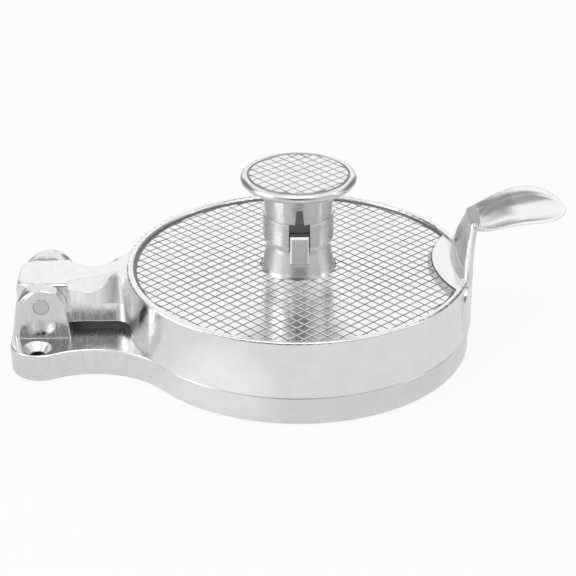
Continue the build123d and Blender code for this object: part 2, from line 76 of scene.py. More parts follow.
class Tree:
    """Short calls for adding and linking the nodes of one node tree."""

    def __init__(self, tree: bpy.types.NodeTree) -> None:
        """Keep the tree that the calls work on.

        Args:
            tree: The node tree of a material, a world or a group.
        """
        self.tree = tree

    def add(self, kind: str, **settings: object) -> bpy.types.Node:
        """Add a node and set its options.

        Args:
            kind: Blender's name of the node type, where its ShaderNode prefix is left out.
            **settings: Options of the node by name.

        Returns:
            The new node.
        """
        node = self.tree.nodes.new(kind if kind.startswith("Node") else "ShaderNode" + kind)
        for name, value in settings.items():
            setattr(node, name, value)
        return node

    def link(self, source: Socket, target: Socket) -> None:
        """Link an output to an input."""
        self.tree.links.new(source, target)

    def feed(self, target: Socket, value: object) -> None:
        """Give an input either a plain value or the output that it follows.

        Args:
            target: The input socket.
            value: A number, a tuple or an output socket.
        """
        if isinstance(value, Socket):
            self.link(value, target)
        else:
            target.default_value = value

    def maths(self, operation: str, first: object, second: object = 0.0) -> Socket:
        """Combine two values.

        Args:
            operation: Name of the maths operation.
            first: A number or an output socket.
            second: A number or an output socket.

        Returns:
            The result's socket.
        """
        node = self.add("Math", operation=operation)
        self.feed(node.inputs[0], first)
        self.feed(node.inputs[1], second)
        return node.outputs[0]

    def times(self, first: object, second: object) -> Socket:
        """Multiply two values."""
        return self.maths("MULTIPLY", first, second)

    def plus(self, first: object, second: object) -> Socket:
        """Add two values."""
        return self.maths("ADD", first, second)

    def vector(self, operation: str, first: object, second: object = None) -> Socket:
        """Combine two vectors, or measure them.

        Args:
            operation: Name of the vector maths operation.
            first: A tuple or an output socket.
            second: The same, or None where the operation takes one vector.

        Returns:
            The result's socket.
        """
        node = self.add("VectorMath", operation=operation)
        self.feed(node.inputs[0], first)
        if second is not None:
            self.feed(node.inputs[1], second)
        return node.outputs["Value" if operation in MEASURES else "Vector"]

    def stretched(self, vector: Socket, scale: Place) -> Socket:
        """Multiply a position by a factor on each axis."""
        return self.vector("MULTIPLY", vector, scale)

    def axes(self, vector: Socket) -> dict[str, Socket]:
        """Split a vector.

        Args:
            vector: Output socket of the vector.

        Returns:
            The sockets of its numbers by X, Y and Z.
        """
        node = self.add("SeparateXYZ")
        self.link(vector, node.inputs[0])
        return {socket.name: socket for socket in node.outputs}

    def noise(self, vector: Socket, scale: object, detail: float = 2.0, rough: float = 0.5) -> Socket:
        """Noise from 0 to 1 round a half.

        Args:
            vector: Position that the noise follows.
            scale: Waves per metre, or the socket that gives them.
            detail: Number of finer layers.
            rough: Strength of the finer layers.

        Returns:
            The noise's value socket.
        """
        node = self.add("TexNoise")
        self.link(vector, node.inputs["Vector"])
        self.feed(node.inputs["Scale"], scale)
        node.inputs["Detail"].default_value = detail
        node.inputs["Roughness"].default_value = rough
        return node.outputs[0]

    def spread(self, value: Socket, low: float, high: float, to_low: object = 0.0,
               to_high: object = 1.0) -> Socket:
        """Map a value smoothly from one range to another and hold it at the ends.

        Args:
            value: Value to map.
            low: Value that gives to_low.
            high: Value that gives to_high.
            to_low: Result at the low end.
            to_high: Result at the high end.

        Returns:
            The mapped value's socket.
        """
        node = self.add("MapRange", interpolation_type="SMOOTHSTEP")
        self.link(value, node.inputs["Value"])
        node.inputs["From Min"].default_value = low
        node.inputs["From Max"].default_value = high
        self.feed(node.inputs["To Min"], to_low)
        self.feed(node.inputs["To Max"], to_high)
        return node.outputs["Result"]

    def group(self, shared: bpy.types.NodeTree, values: dict[str, object]) -> Socket:
        """Place a shared group and feed its inputs.

        Args:
            shared: The shared group.
            values: Input name to number, tuple or socket.

        Returns:
            The group's first output.
        """
        node = self.add("Group", node_tree=shared)
        for label, value in values.items():
            self.feed(node.inputs[label], value)
        return node.outputs[0]

    def ramp(self, value: Socket, stops: tuple[Point, ...]) -> Socket:
        """Map a value from 0 to 1 through a list of levels.

        Args:
            value: Value to map.
            stops: Pairs of value and level, in rising order.

        Returns:
            The level's socket.
        """
        node = self.add("ValToRGB")
        self.link(value, node.inputs["Fac"])
        ends = node.color_ramp.elements
        while len(ends) < len(stops):
            ends.new(0.5)
        for end, (at, level) in zip(ends, stops):
            end.position = at
            end.color = (level, level, level, 1.0)
        return node.outputs["Color"]

    def mix(self, share: object, first: object, second: object) -> Socket:
        """Mix two numbers by a share.

        Args:
            share: Share of the second number, as a number or a socket.
            first: Number or socket.
            second: Number or socket.

        Returns:
            The mixed number's socket.
        """
        node = self.add("Mix", data_type="FLOAT")
        self.feed(node.inputs["Factor"], share)
        for index, value in zip(MIX_NUMBERS, (first, second)):
            self.feed(node.inputs[index], value)
        return node.outputs[0]

    def blend(self, share: object, first: object, second: object) -> Socket:
        """Mix two colours by a share.

        Args:
            share: Share of the second colour, as a number or a socket.
            first: Colour or socket.
            second: Colour or socket.

        Returns:
            The mixed colour's socket.
        """
        node = self.add("Mix", data_type="RGBA")
        self.feed(node.inputs["Factor"], share)
        for index, value in zip(MIX_COLOURS, (first, second)):
            self.feed(node.inputs[index], value if isinstance(value, Socket) else (*value, 1.0))
        return node.outputs[MIX_COLOUR_RESULT]


class EffectLibrary:
    """Shader groups that several finishes use, each built once."""

    # Uneven polish: how much finer its small patches are, the two sizes' shares, and the patches' edges
    PATCH_FINER = 5.3
    PATCH_SHARES = (0.7, 0.3)
    PATCH_EDGES = (0.32, 0.68)
    # Polishing marks: how much of each axis the noise follows, for level and for upright lines
    LEVEL_LINES = (0.05, 0.05, 1.0)
    UPRIGHT_LINES = (0.42, 0.06, 0.06)
    # Scratches: how they are drawn out, their two directions, and how few of the noise's peaks count
    SCRATCH_LINES = (1.0, 0.03, 0.2)
    SCRATCH_TURNS = ((0.5, 0.35, 0.65), (1.9, 1.33, 2.47))
    SCRATCH_EDGES = (0.69, 0.74)
    # Leaves out the height of a place
    LEVEL = (1.0, 1.0, 0.0)

    def __init__(self) -> None:
        """Build every group."""
        self.blotches = self._blotches()
        self.marks = self._marks()
        self.scratches = self._scratches()
        self.painted_shade = self._painted_shade()
        self.hollow = self._hollow()

    @staticmethod
    def _new(name: str, inputs: dict[str, str], outputs: dict[str, str]) -> tuple[Tree, dict, dict]:
        """Start a group with named sockets.

        Args:
            name: Name of the group.
            inputs: Socket name to socket kind, "Float" or "Vector".
            outputs: The same for the outputs.

        Returns:
            The group's tree, its input sockets by name and its output sockets by name.
        """
        group = bpy.data.node_groups.new(name, "ShaderNodeTree")
        for label, kind in inputs.items():
            group.interface.new_socket(label, in_out="INPUT", socket_type="NodeSocket" + kind)
        for label, kind in outputs.items():
            group.interface.new_socket(label, in_out="OUTPUT", socket_type="NodeSocket" + kind)
        tree = Tree(group)
        entry = tree.add("NodeGroupInput")
        leave = tree.add("NodeGroupOutput")
        return tree, {s.name: s for s in entry.outputs}, {s.name: s for s in leave.inputs}

    def _blotches(self) -> bpy.types.NodeTree:
        """Soft cloudy patches of uneven polish, at two sizes.

        Returns:
            Group with inputs Position and Scale and output Mask.
        """
        tree, given, result = self._new(
            "uneven_polish", {"Position": "Vector", "Scale": "Float"}, {"Mask": "Float"})
        place, scale = given["Position"], given["Scale"]
        broad = tree.noise(place, scale, detail=3.0, rough=0.6)
        fine = tree.noise(place, tree.times(scale, self.PATCH_FINER))
        broad_share, fine_share = self.PATCH_SHARES
        both = tree.plus(tree.times(broad, broad_share), tree.times(fine, fine_share))
        tree.link(tree.spread(both, *self.PATCH_EDGES), result["Mask"])
        return tree.tree

    def _marks(self) -> bpy.types.NodeTree:
        """Fine lines left by a polishing belt or a lathe: level, upright, or round the vertical axis.

        Returns:
            Group with inputs Position, Round, Upright and Scale and output Mask. Round and Upright are the
            shares of the lines that run round the axis and up and down.
        """
        tree, given, result = self._new(
            "polishing_marks",
            {"Position": "Vector", "Round": "Float", "Upright": "Float", "Scale": "Float"},
            {"Mask": "Float"})
        place = given["Position"]
        turned = tree.add("CombineXYZ")
        tree.link(tree.vector("LENGTH", tree.stretched(place, self.LEVEL)), turned.inputs[0])
        tree.link(tree.axes(place)["Z"], turned.inputs[2])
        ways = (tree.stretched(place, self.LEVEL_LINES), tree.stretched(place, self.UPRIGHT_LINES),
                turned.outputs[0])
        level, upright, rings = (tree.noise(way, given["Scale"], detail=3.0, rough=0.7) for way in ways)
        straight = tree.mix(given["Upright"], level, upright)
        tree.link(tree.mix(given["Round"], straight, rings), result["Mask"])
        return tree.tree

    def _scratches(self) -> bpy.types.NodeTree:
        """Sparse hairline scratches in two directions, from handling and washing.

        Returns:
            Group with inputs Position and Scale and output Mask.
        """
        tree, given, result = self._new(
            "hairline_scratches", {"Position": "Vector", "Scale": "Float"}, {"Mask": "Float"})
        found = []
        for turn in self.SCRATCH_TURNS:
            turned = tree.add("VectorRotate", rotation_type="EULER_XYZ")
            tree.link(given["Position"], turned.inputs["Vector"])
            turned.inputs["Rotation"].default_value = turn
            drawn_out = tree.stretched(turned.outputs[0], self.SCRATCH_LINES)
            lines = tree.noise(drawn_out, given["Scale"], detail=1.0)
            found.append(tree.spread(lines, *self.SCRATCH_EDGES))
        tree.link(tree.maths("MAXIMUM", *found), result["Mask"])
        return tree.tree

    def _painted_shade(self) -> bpy.types.NodeTree:
        """Mask of a box or an upright cylinder with soft sides, for a place of painted shade.

        Returns:
            Group with inputs Position, Middle, Half size, Softness and Round and output Mask. Where
            Round is 1, the X half size is the radius.
        """
        tree, given, result = self._new(
            "painted_shade_place",
            {"Position": "Vector", "Middle": "Vector", "Half size": "Vector", "Softness": "Float",
             "Round": "Float"},
            {"Mask": "Float"})
        half = given["Half size"]
        gap = tree.vector("SUBTRACT", given["Position"], given["Middle"])
        beyond = tree.axes(tree.vector("SUBTRACT", tree.vector("ABSOLUTE", gap), half))
        straight = tree.maths("MAXIMUM", beyond["X"], beyond["Y"])
        away = tree.vector("LENGTH", tree.stretched(gap, self.LEVEL))
        curved = tree.maths("SUBTRACT", away, tree.axes(half)["X"])
        side = tree.mix(given["Round"], straight, curved)
        share = tree.maths("DIVIDE", tree.maths("MAXIMUM", side, beyond["Z"]), given["Softness"])
        tree.link(tree.spread(share, -1.0, 0.0, 1.0, 0.0), result["Mask"])
        return tree.tree

    def _hollow(self) -> bpy.types.NodeTree:
        """Depth of a smooth oval hollow in a surface that faces up.

        Returns:
            Group with inputs Position, Middle and Reach and output Depth, which is 1 in the middle.
        """
        tree, given, result = self._new(
            "oval_hollow", {"Position": "Vector", "Middle": "Vector", "Reach": "Vector"}, {"Depth": "Float"})
        gap = tree.vector("SUBTRACT", given["Position"], given["Middle"])
        share = tree.vector("DIVIDE", gap, given["Reach"])
        left = tree.maths("SUBTRACT", 1.0, tree.vector("DOT_PRODUCT", share, share))
        tree.link(tree.maths("MAXIMUM", left, 0.0), result["Depth"])
        return tree.tree


def in_metres(place: Place) -> Place:
    """Turn a place or size from millimetres into metres."""
    return tuple(value * MM for value in place)


@dataclass(frozen=True)
class PaintedShadePatch:
    """A place of painted shade, in millimetres, painted light where its grey is lighter, and how rough it
    stays.

    It is a box, or a drum: an upright cylinder whose radius is the X half size. It fades in over its
    softness, inwards from its sides.
    """

    middle: Place
    half_size: Place
    softness: float = 0.4
    painted_grey: float = 0.20
    rough: float = 0.55
    drum: bool = False

    def mask(self, tree: Tree, effects: EffectLibrary, place: Socket) -> Socket:
        """Place the shared group that finds this place of painted shade.

        Args:
            tree: Tree of the material.
            effects: The shared shader groups.
            place: Position socket.

        Returns:
            The mask's socket.
        """
        return tree.group(effects.painted_shade, {
            "Position": place, "Middle": in_metres(self.middle), "Half size": in_metres(self.half_size),
            "Softness": self.softness * MM, "Round": float(self.drum)})


@dataclass(frozen=True)
class Hollow:
    """An oval place that is shaded deeper than its mesh, in millimetres.

    Towards its middle, edges are rounded more than the finish rounds them elsewhere.
    """

    middle: Place
    reach: Place
    depth: float
    soft_round: float = 1.7

    def share(self, tree: Tree, effects: EffectLibrary, place: Socket) -> Socket:
        """Place the shared group that gives the depth.

        Args:
            tree: Tree of the material.
            effects: The shared shader groups.
            place: Position socket.

        Returns:
            The depth's socket, 1 in the middle.
        """
        return tree.group(effects.hollow, {
            "Position": place, "Middle": in_metres(self.middle), "Reach": in_metres(self.reach)})


@dataclass(frozen=True)
class Traces:
    """What a finish draws on: the place on the piece, the share of upright marks, marks and scratches."""

    place: Socket
    upright: object
    marks: Socket
    streak: Socket
    scratch: Socket


@dataclass(frozen=True)
class MetalFinish:
    """A metal surface: its colour, polish, marks and edge rounding.

    Scales are in waves per metre, the heights of marks and waves in millimetres, and other lengths in metres.
    Beyond the X given, towards the hinge, a belt has left upright marks, which are rougher.
    """

    # Share of the cloudy patches in the uneven polish, the rest being streaks, and the streaks' edges
    PATCH_SHARE: ClassVar[float] = 0.65
    STREAK_EDGES: ClassVar[Point] = (0.35, 0.65)
    SCRATCH_SCALE: ClassVar[float] = 900.0
    UPRIGHT_FADE: ClassVar[float] = 5 * MM
    # Depth of a hollow, as a share, from which it is rounded in full
    HOLLOW_RIM: ClassVar[float] = 0.25
    # How much more blue than red and green the painted grey of a place of painted shade is
    GREY_TINT: ClassVar[float] = 0.005
    BEVEL_SAMPLES: ClassVar[int] = 6

    name: str
    colour: Colour
    dull_colour: Colour
    rough_low: float
    rough_high: float
    blotch_scale: float = 130.0
    brush: Brush = Brush.ROUND
    mark_scale: float = 2600.0
    mark_height: float = 0.002
    wave_scale: float = 110.0
    wave_height: float = 0.010
    edge_round: float = 0.35 * MM
    scratch: float = 0.05
    upright_beyond_x: float | None = None
    upright_rough: float = 0.0
    painted_shade_patches: tuple[PaintedShadePatch, ...] = ()
    hollow: Hollow | None = None

    def build(self, effects: EffectLibrary) -> bpy.types.Material:
        """Make the material.

        Args:
            effects: The shared shader groups.

        Returns:
            The finished material.
        """
        material = bpy.data.materials.new(self.name)
        material.use_nodes = True
        tree = Tree(material.node_tree)
        shader = material.node_tree.nodes["Principled BSDF"]
        shader.inputs["Metallic"].default_value = 1.0
        traces = self._traces(tree, effects)
        colour, rough = self._polish(tree, effects, traces)
        tree.link(colour, shader.inputs["Base Color"])
        tree.link(rough, shader.inputs["Roughness"])
        tree.link(self._relief(tree, effects, traces), shader.inputs["Normal"])
        return material

    def _traces(self, tree: Tree, effects: EffectLibrary) -> Traces:
        """Place the marks and scratches.

        Args:
            tree: Tree of the material.
            effects: The shared shader groups.

        Returns:
            Their sockets.
        """
        place = tree.add("TexCoord").outputs["Object"]
        upright = self._upright_share(tree, place)
        turned = tree.maths("SUBTRACT", float(self.brush is Brush.ROUND), upright)
        marks = tree.group(effects.marks, {
            "Position": place, "Round": turned, "Upright": upright, "Scale": self.mark_scale})
        scratch = tree.group(effects.scratches, {"Position": place, "Scale": self.SCRATCH_SCALE})
        return Traces(place, upright, marks, tree.spread(marks, *self.STREAK_EDGES), scratch)

    def _polish(self, tree: Tree, effects: EffectLibrary, traces: Traces) -> tuple[Socket, Socket]:
        """Colour and roughness: uneven polish, streaks, scratches and the places of painted shade.

        Args:
            tree: Tree of the material.
            effects: The shared shader groups.
            traces: Sockets of the marks and scratches.

        Returns:
            The colour's and the roughness's socket.
        """
        blotch = tree.group(effects.blotches, {"Position": traces.place, "Scale": self.blotch_scale})
        uneven = tree.plus(tree.times(blotch, self.PATCH_SHARE),
                           tree.times(traces.streak, 1.0 - self.PATCH_SHARE))
        colour = tree.blend(uneven, self.colour, self.dull_colour)
        rough = tree.spread(uneven, 0.0, 1.0, self.rough_low, self.rough_high)
        rough = tree.plus(rough, tree.times(traces.scratch, self.scratch))
        rough = tree.plus(rough, tree.times(tree.times(traces.upright, traces.streak), self.upright_rough))
        # Each place's painted grey is blended into the colour: painted shade where darker, painted light
        # where lighter
        for painted_shade in self.painted_shade_patches:
            mask = painted_shade.mask(tree, effects, traces.place)
            painted_grey = (painted_shade.painted_grey, painted_shade.painted_grey, painted_shade.painted_grey + self.GREY_TINT)
            colour = tree.blend(mask, colour, painted_grey)
            rough = tree.maths("MAXIMUM", rough, tree.times(mask, painted_shade.rough))
        return colour, rough

    def _relief(self, tree: Tree, effects: EffectLibrary, traces: Traces) -> Socket:
        """Normal: rounded edges, with the waves, marks, scratches and hollow as bump.

        Args:
            tree: Tree of the material.
            effects: The shared shader groups.
            traces: Sockets of the marks and scratches.

        Returns:
            The normal's socket.
        """
        height = tree.times(tree.noise(traces.place, self.wave_scale), self.wave_height)
        height = tree.plus(height, tree.times(traces.marks, self.mark_height))
        height = tree.maths("SUBTRACT", height, tree.times(traces.scratch, self.mark_height))
        radius: object = self.edge_round
        if self.hollow is not None:
            depth = self.hollow.share(tree, effects, traces.place)
            height = tree.maths("SUBTRACT", height, tree.times(depth, self.hollow.depth))
            radius = tree.spread(depth, 0.0, self.HOLLOW_RIM, self.edge_round, self.hollow.soft_round * MM)
        rounded = tree.add("Bevel", samples=self.BEVEL_SAMPLES)
        tree.feed(rounded.inputs["Radius"], radius)
        bump = tree.add("Bump")
        bump.inputs["Distance"].default_value = MM
        tree.link(height, bump.inputs["Height"])
        tree.link(rounded.outputs["Normal"], bump.inputs["Normal"])
        return bump.outputs["Normal"]

    def _upright_share(self, tree: Tree, place: Socket) -> object:
        """Share of the marks that run up and down.

        Args:
            tree: Tree of the material.
            place: Position socket.

        Returns:
            Zero, or a socket where the part beyond a line across X has such marks.
        """
        beyond = self.upright_beyond_x
        if beyond is None:
            return 0.0
        return tree.spread(tree.axes(place)["X"], beyond - self.UPRIGHT_FADE, beyond, 1.0, 0.0)


def add_object(name: str, mesh: bmesh.types.BMesh) -> bpy.types.Object:
    """Turn a finished mesh into an object of the scene.

    Args:
        name: Name of the object and its mesh.
        mesh: The mesh, which is freed.

    Returns:
        The object.
    """
    data = bpy.data.meshes.new(name)
    mesh.normal_update()
    mesh.to_mesh(data)
    mesh.free()
    made = bpy.data.objects.new(name, data)
    bpy.context.scene.collection.objects.link(made)
    return made


@dataclass(frozen=True)
class HalfPlane:
    """Keeps the points whose distance along a direction is at most a limit."""

    x: float
    y: float
    limit: float

    def clip(self, outline: list[Point], inset: float) -> list[Point]:
        """Cut a convex outline back to this half plane.

        Args:
            outline: Corners in order.
            inset: How far inside the limit to cut.

        Returns:
            The corners that are left, with new ones on the cut.
        """
        kept: list[Point] = []
        limit = self.limit - inset
        for index, corner in enumerate(outline):
            before = outline[index - 1]
            out_now = corner[0] * self.x + corner[1] * self.y - limit
            out_before = before[0] * self.x + before[1] * self.y - limit
            if (out_now > 0) != (out_before > 0):
                share = out_before / (out_before - out_now)
                kept.append((before[0] + share * (corner[0] - before[0]),
                             before[1] + share * (corner[1] - before[1])))
            if out_now <= 0:
                kept.append(corner)
        return kept


@dataclass(frozen=True)
class RoundEdge:
    """A circle that the knurl stays inside or outside of."""

    x: float
    y: float
    radius: float
    inside: bool

    def near(self, at: Point) -> HalfPlane:
        """Straight cut that stands for the circle near a point.

        Args:
            at: The point.

        Returns:
            The half plane that touches the circle on the point's side.
        """
        way = Vector((at[0] - self.x, at[1] - self.y))
        way = way.normalized() if way.length > 0 else Vector((1.0, 0.0))
        reach = way.x * self.x + way.y * self.y + self.radius
        if self.inside:
            return HalfPlane(way.x, way.y, reach)
        return HalfPlane(-way.x, -way.y, -reach)


@dataclass
class Knurl:
    """Diamond knurl cut into a flat round face, in millimetres until the mesh is made.

    The grid is turned and offset about the axis, and reaches past the face, whose edges cut it. Each
    diamond stands between grooves, its top edge rounded over and its top leaning a little. The shoulder
    drop is a share of the rounding. Slivers at the rim that are under the least area are left out.
    """

    name: str
    floor_z: float
    top_z: float
    pitch: float
    turn_deg: float
    offset: Point
    edges: list[RoundEdge]
    reach: float
    groove_half: float = 0.30
    round_over: float = 0.14
    tilt: float = 0.012
    least_area: float = 0.15
    shoulder_drop: float = 0.6
    seed: int = 7

    def build(self) -> bpy.types.Object:
        """Make the knurl's mesh object.

        Returns:
            The object, with one truncated pyramid for each diamond.
        """
        mesh = bmesh.new()
        chance = random.Random(self.seed)
        for outline_planes, middle in self._cells():
            lean = (chance.uniform(-self.tilt, self.tilt), chance.uniform(-self.tilt, self.tilt))
            self._diamond(mesh, outline_planes, middle, lean)
        return add_object(self.name, mesh)

    def _cells(self) -> list[tuple[list[HalfPlane], Point]]:
        """Every cell of a square grid that covers the face.

        Returns:
            For each cell, the half planes round it and its middle.
        """
        turn = math.radians(self.turn_deg)
        along = (math.cos(turn), math.sin(turn))
        across = (-along[1], along[0])
        count = int(self.reach / self.pitch) + 2
        cells = []
        for row in range(-count, count):
            for column in range(-count, count):
                u = (row + 0.5) * self.pitch + self.offset[0]
                v = (column + 0.5) * self.pitch + self.offset[1]
                middle = (u * along[0] + v * across[0], u * along[1] + v * across[1])
                half = self.pitch / 2
                planes = [
                    HalfPlane(along[0], along[1], u + half),
                    HalfPlane(across[0], across[1], v + half),
                    HalfPlane(-along[0], -along[1], half - u),
                    HalfPlane(-across[0], -across[1], half - v),
                ]
                planes += [edge.near(middle) for edge in self.edges]
                cells.append((planes, middle))
        return cells

    def _ring(self, planes: list[HalfPlane], middle: Point, inset: float) -> list[Point]:
        """Outline of a cell cut back by an inset.

        Args:
            planes: Half planes round the cell.
            middle: Middle of the cell.
            inset: How far inside them the outline runs.

        Returns:
            Corners in order, or an empty list.
        """
        size = self.pitch * 2
        outline = [(middle[0] + size * x, middle[1] + size * y) for x, y in SQUARE]
        for plane in planes:
            outline = plane.clip(outline, inset)
            if len(outline) < 3:
                return []
        return outline

    def _diamond(self, mesh: bmesh.types.BMesh, planes: list[HalfPlane], middle: Point,
                 lean: Point) -> None:
        """Add one diamond, with sloping sides and a softened top edge.

        Args:
            mesh: Mesh to add to.
            planes: Half planes round the cell.
            middle: Middle of the cell.
            lean: Slope of the top along X and Y.
        """
        top = self._ring(planes, middle, self.groove_half + self.round_over)
        shoulder = self._ring(planes, middle, self.groove_half)
        foot = self._ring(planes, middle, 0.0)
        if not top or self._area(top) < self.least_area:
            return
        # Where the rim cuts a corner off one outline only, the lower ones follow the top
        if not len(top) == len(shoulder) == len(foot):
            shoulder = self._grown(top, self.round_over)
            foot = self._grown(top, self.round_over + self.groove_half)
        shoulder_z = self.top_z - self.round_over * self.shoulder_drop
        levels = ((foot, self.floor_z), (shoulder, shoulder_z), (top, self.top_z))
        rings = []
        for outline, z in levels:
            ring = []
            for x, y in outline:
                drop = lean[0] * (x - middle[0]) + lean[1] * (y - middle[1]) if z > self.floor_z else 0.0
                ring.append(mesh.verts.new((x * MM, y * MM, (z + drop) * MM)))
            rings.append(ring)
        for low, high in zip(rings, rings[1:]):
            for index in range(len(low)):
                mesh.faces.new((low[index - 1], low[index], high[index], high[index - 1]))
        mesh.faces.new(rings[-1])

    @staticmethod
    def _grown(outline: list[Point], by: float) -> list[Point]:
        """Move every corner of an outline away from its middle."""
        middle = Vector([sum(values) / len(outline) for values in zip(*outline)])
        return [tuple(Vector(at) + (Vector(at) - middle).normalized() * by) for at in outline]

    @staticmethod
    def _area(outline: list[Point]) -> float:
        """Area inside an outline."""
        pairs = zip(outline, outline[1:] + outline[:1])
        return abs(sum(a[0] * b[1] - b[0] * a[1] for a, b in pairs)) / 2


@dataclass
class Base:
    """Dished base with its hinge slab, and the pin in its ears."""

    body: str = "base"
    casting: MetalFinish = MetalFinish(
        "satin_base_casting", colour=(0.83, 0.83, 0.835), dull_colour=(0.76, 0.76, 0.765),
        rough_low=0.10, rough_high=0.18,
        upright_beyond_x=-57 * MM, upright_rough=0.13, wave_height=0.005, mark_height=0.008,
        painted_shade_patches=(
            # Top of the slab beside the near ear: rougher, and painted a little lighter as painted light
            PaintedShadePatch((-80.0, -24.0, 10.9), (24.0, 18.0, 1.6), softness=1.6, painted_grey=0.84, rough=0.27),
            # Slab under the arm: painted shade where the arm shades it
            PaintedShadePatch((-85.0, 0.0, 12.0), (21.0, 10.8, 1.4), painted_grey=0.62),
            # Underside: painted shade
            PaintedShadePatch((0.0, 0.0, 0.0), (200.0, 200.0, 0.6)),
            # Screw holes: painted shade in the recesses
            PaintedShadePatch((-95.4, -25.2, 4.3), (2.9, 2.9, 4.6), painted_grey=0.10, drum=True),
            PaintedShadePatch((-95.4, 25.2, 4.3), (2.9, 2.9, 4.6), painted_grey=0.10, drum=True),
        ),
    )
    pin: MetalFinish = MetalFinish(
        "ground_pin", colour=(0.72, 0.72, 0.73), dull_colour=(0.64, 0.64, 0.65),
        rough_low=0.26, rough_high=0.36, brush=Brush.ACROSS,
        edge_round=0.15 * MM,
    )

    def dress(self, nodes: dict[str, bpy.types.Object], effects: EffectLibrary) -> list[str]:
        """Give the base and pin their finishes.

        Args:
            nodes: CAD nodes by name.
            effects: The shared shader groups.

        Returns:
            Names of the pieces that were dressed.
        """
        paint(nodes["base_casting"], self.casting.build(effects))
        paint(nodes["hinge_pin"], self.pin.build(effects))
        return ["base_casting", "hinge_pin"]


@dataclass
class Lid:
    """Lid casting with its knurled top, arm and handle, and the key in its neck."""

    body: str = "lid"
    knurl: Knurl = field(default_factory=lambda: Knurl(
        "lid_knurl", floor_z=30.87, top_z=31.25, pitch=3.76, turn_deg=42.5, offset=(1.55, 1.75),
        edges=[RoundEdge(0.0, -0.7, radius=60.0, inside=True), RoundEdge(0.0, 0.0, radius=13.6, inside=False),
               RoundEdge(96.2, -0.9, radius=46.3, inside=False)],
        reach=90.0,
    ))
    casting: MetalFinish = MetalFinish(
        "polished_lid_casting", colour=(0.92, 0.92, 0.925), dull_colour=(0.86, 0.86, 0.865),
        rough_low=0.10, rough_high=0.19,
        upright_beyond_x=-57 * MM, upright_rough=0.13, wave_height=0.006, mark_height=0.008,
        painted_shade_patches=(
            # Lower side of the arm and its root: rougher, the root painted a little lighter as painted light
            PaintedShadePatch((-74.0, 0.0, 18.0), (9.5, 12.0, 5.0), softness=2.0, painted_grey=0.88, rough=0.17),
            PaintedShadePatch((-60.5, -20.0, 22.0), (5.0, 9.0, 10.0), softness=3.0, painted_grey=0.94, rough=0.36),
            # Underside of the arm: painted shade
            PaintedShadePatch((-85.0, 0.0, 14.1), (21.0, 10.8, 0.6), painted_grey=0.30),
            # Floor of the recess: painted shade between the diamonds
            PaintedShadePatch((0.0, 0.0, 30.85), (61.5, 61.5, 0.3), softness=0.1, painted_grey=0.30, rough=0.5, drum=True),
            # Boss, and the patch under the key: painted shade on the boss, darker painted shade under the key
            PaintedShadePatch((0.0, 0.0, 37.2), (15.0, 15.0, 5.6), softness=1.5, painted_grey=0.78, rough=0.30, drum=True),
            PaintedShadePatch((0.0, -12.6, 34.0), (4.6, 3.0, 3.8), softness=3.0, painted_grey=0.44, rough=0.38),
            # Edges and face of the handle's stem, and its bend: rougher, the stem a little lighter as painted
            # light, painted shade on the inner face and darker painted shade on the flat at the bend
            PaintedShadePatch((62.0, 0.0, 40.0), (6.2, 20.0, 9.6), softness=1.5, painted_grey=0.93, rough=0.48),
            PaintedShadePatch((58.5, 0.0, 41.0), (3.4, 14.0, 8.0), softness=1.5, painted_grey=0.74, rough=0.42),
            PaintedShadePatch((64.8, 0.5, 50.0), (3.4, 8.0, 1.4), softness=1.0, painted_grey=0.42, rough=0.42),
            # Far side of the palm rest: painted shade for a dark reflection
            PaintedShadePatch((71.5, 7.0, 50.0), (10.5, 10.5, 6.0), softness=7.0, painted_grey=0.44, rough=0.36),
        ),
        # Palm rest: an oval seen from above, at any height
        hollow=Hollow(middle=(82.0, -1.5, 52.0), reach=(15.5, 12.9, 1000.0), depth=0.90),
    )
    diamonds: MetalFinish = MetalFinish(
        "polished_diamonds", colour=(0.94, 0.94, 0.945), dull_colour=(0.90, 0.90, 0.905),
        rough_low=0.14, rough_high=0.22, wave_height=0.004,
        edge_round=0.08 * MM,
        painted_shade_patches=(
            # Grooves: painted shade between the diamonds
            PaintedShadePatch((0.0, 0.0, 30.95), (70.0, 70.0, 0.21), softness=0.12, painted_grey=0.22, rough=0.5),
            # Diamonds beside the handle's pad: painted shade
            PaintedShadePatch((96.2, -5.5, 31.5), (48.6, 48.6, 0.5), softness=0.3, painted_grey=0.50, rough=0.4, drum=True),
        ),
    )
    key: MetalFinish = MetalFinish(
        "ground_key", colour=(0.90, 0.90, 0.905), dull_colour=(0.84, 0.84, 0.845),
        rough_low=0.34, rough_high=0.42, brush=Brush.ACROSS,
        edge_round=0.25 * MM,
    )

    def dress(self, nodes: dict[str, bpy.types.Object], effects: EffectLibrary) -> list[str]:
        """Build the knurl and give the lid and key their finishes.

        Args:
            nodes: CAD nodes by name.
            effects: The shared shader groups.

        Returns:
            Names of the pieces that were built or dressed.
        """
        paint(nodes["lid_casting"], self.casting.build(effects))
        paint(nodes["index_key"], self.key.build(effects))
        knurl = self.knurl.build()
        paint(knurl, self.diamonds.build(effects))
        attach(knurl, self.body)
        return ["lid_casting", "index_key", knurl.name]


